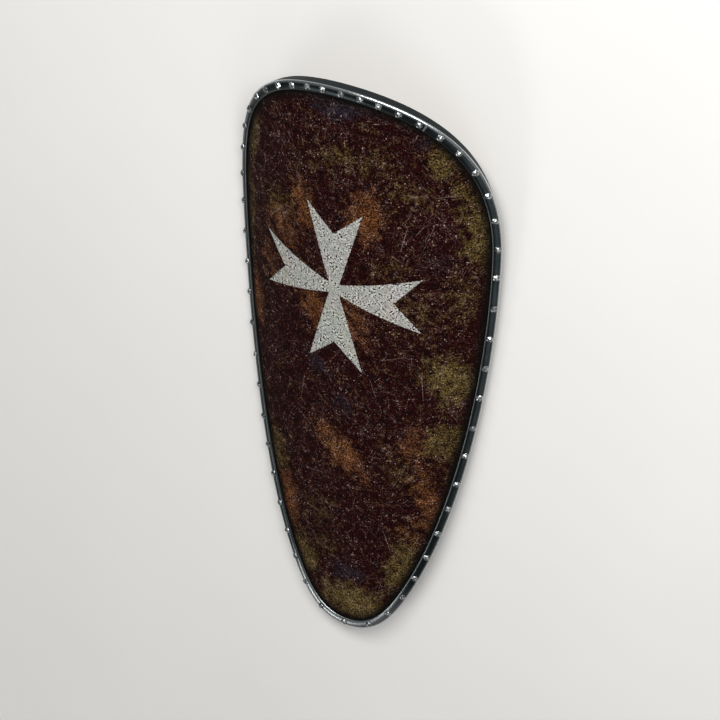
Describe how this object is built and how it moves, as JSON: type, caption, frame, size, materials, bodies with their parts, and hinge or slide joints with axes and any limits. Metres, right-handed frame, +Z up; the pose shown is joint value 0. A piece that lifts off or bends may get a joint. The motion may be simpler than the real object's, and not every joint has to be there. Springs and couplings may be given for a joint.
{
  "type": "kite shield",
  "caption": "Long kite shield with a rounded top and toe: a bent painted board in a nailed steel rim, with two leather straps behind.",
  "frame": {"origin": "on the floor that the shield lies on, under the middle of its box", "axes": "+Y along the shield towards its rounded top, +X across it, +Z up out of the painted face; the shield lies face up on the two sides of its rim, its top end tilted up by 3.84 degrees"},
  "size_m": [0.4792, 1.0988, 0.132],
  "materials": {
    "painted_board": "worn dark red paint with a white cross",
    "rim_steel": "dark blued steel, satin",
    "nail_steel": "bright hammered steel",
    "strap_leather": "plain brown vegetable-tanned leather"
  },
  "bodies": {
    "root": {"board": "painted_board", "steel_rim": "rim_steel", "rim_nail_01": "nail_steel", "rim_nail_02": "nail_steel", "rim_nail_03": "nail_steel", "rim_nail_04": "nail_steel", "rim_nail_05": "nail_steel", "rim_nail_06": "nail_steel", "rim_nail_07": "nail_steel", "rim_nail_08": "nail_steel", "rim_nail_09": "nail_steel", "rim_nail_10": "nail_steel", "rim_nail_11": "nail_steel", "rim_nail_12": "nail_steel", "rim_nail_13": "nail_steel", "rim_nail_14": "nail_steel", "rim_nail_15": "nail_steel", "rim_nail_16": "nail_steel", "rim_nail_17": "nail_steel", "rim_nail_18": "nail_steel", "rim_nail_19": "nail_steel", "rim_nail_20": "nail_steel", "rim_nail_21": "nail_steel", "rim_nail_22": "nail_steel", "rim_nail_23": "nail_steel", "rim_nail_24": "nail_steel", "rim_nail_25": "nail_steel", "rim_nail_26": "nail_steel", "rim_nail_27": "nail_steel", "rim_nail_28": "nail_steel", "rim_nail_29": "nail_steel", "rim_nail_30": "nail_steel", "rim_nail_31": "nail_steel", "rim_nail_32": "nail_steel", "rim_nail_33": "nail_steel", "rim_nail_34": "nail_steel", "rim_nail_35": "nail_steel", "rim_nail_36": "nail_steel", "rim_nail_37": "nail_steel", "rim_nail_38": "nail_steel", "rim_nail_39": "nail_steel", "rim_nail_40": "nail_steel", "rim_nail_41": "nail_steel", "rim_nail_42": "nail_steel", "rim_nail_43": "nail_steel", "rim_nail_44": "nail_steel", "rim_nail_45": "nail_steel", "rim_nail_46": "nail_steel", "rim_nail_47": "nail_steel", "rim_nail_48": "nail_steel", "rim_nail_49": "nail_steel", "rim_nail_50": "nail_steel", "rim_nail_51": "nail_steel", "rim_nail_52": "nail_steel", "arm_strap": "strap_leather", "arm_strap_nail_upper": "nail_steel", "arm_strap_nail_lower": "nail_steel", "hand_strap": "strap_leather", "hand_strap_nail_upper": "nail_steel", "hand_strap_nail_lower": "nail_steel"}
  },
  "joints": []
}
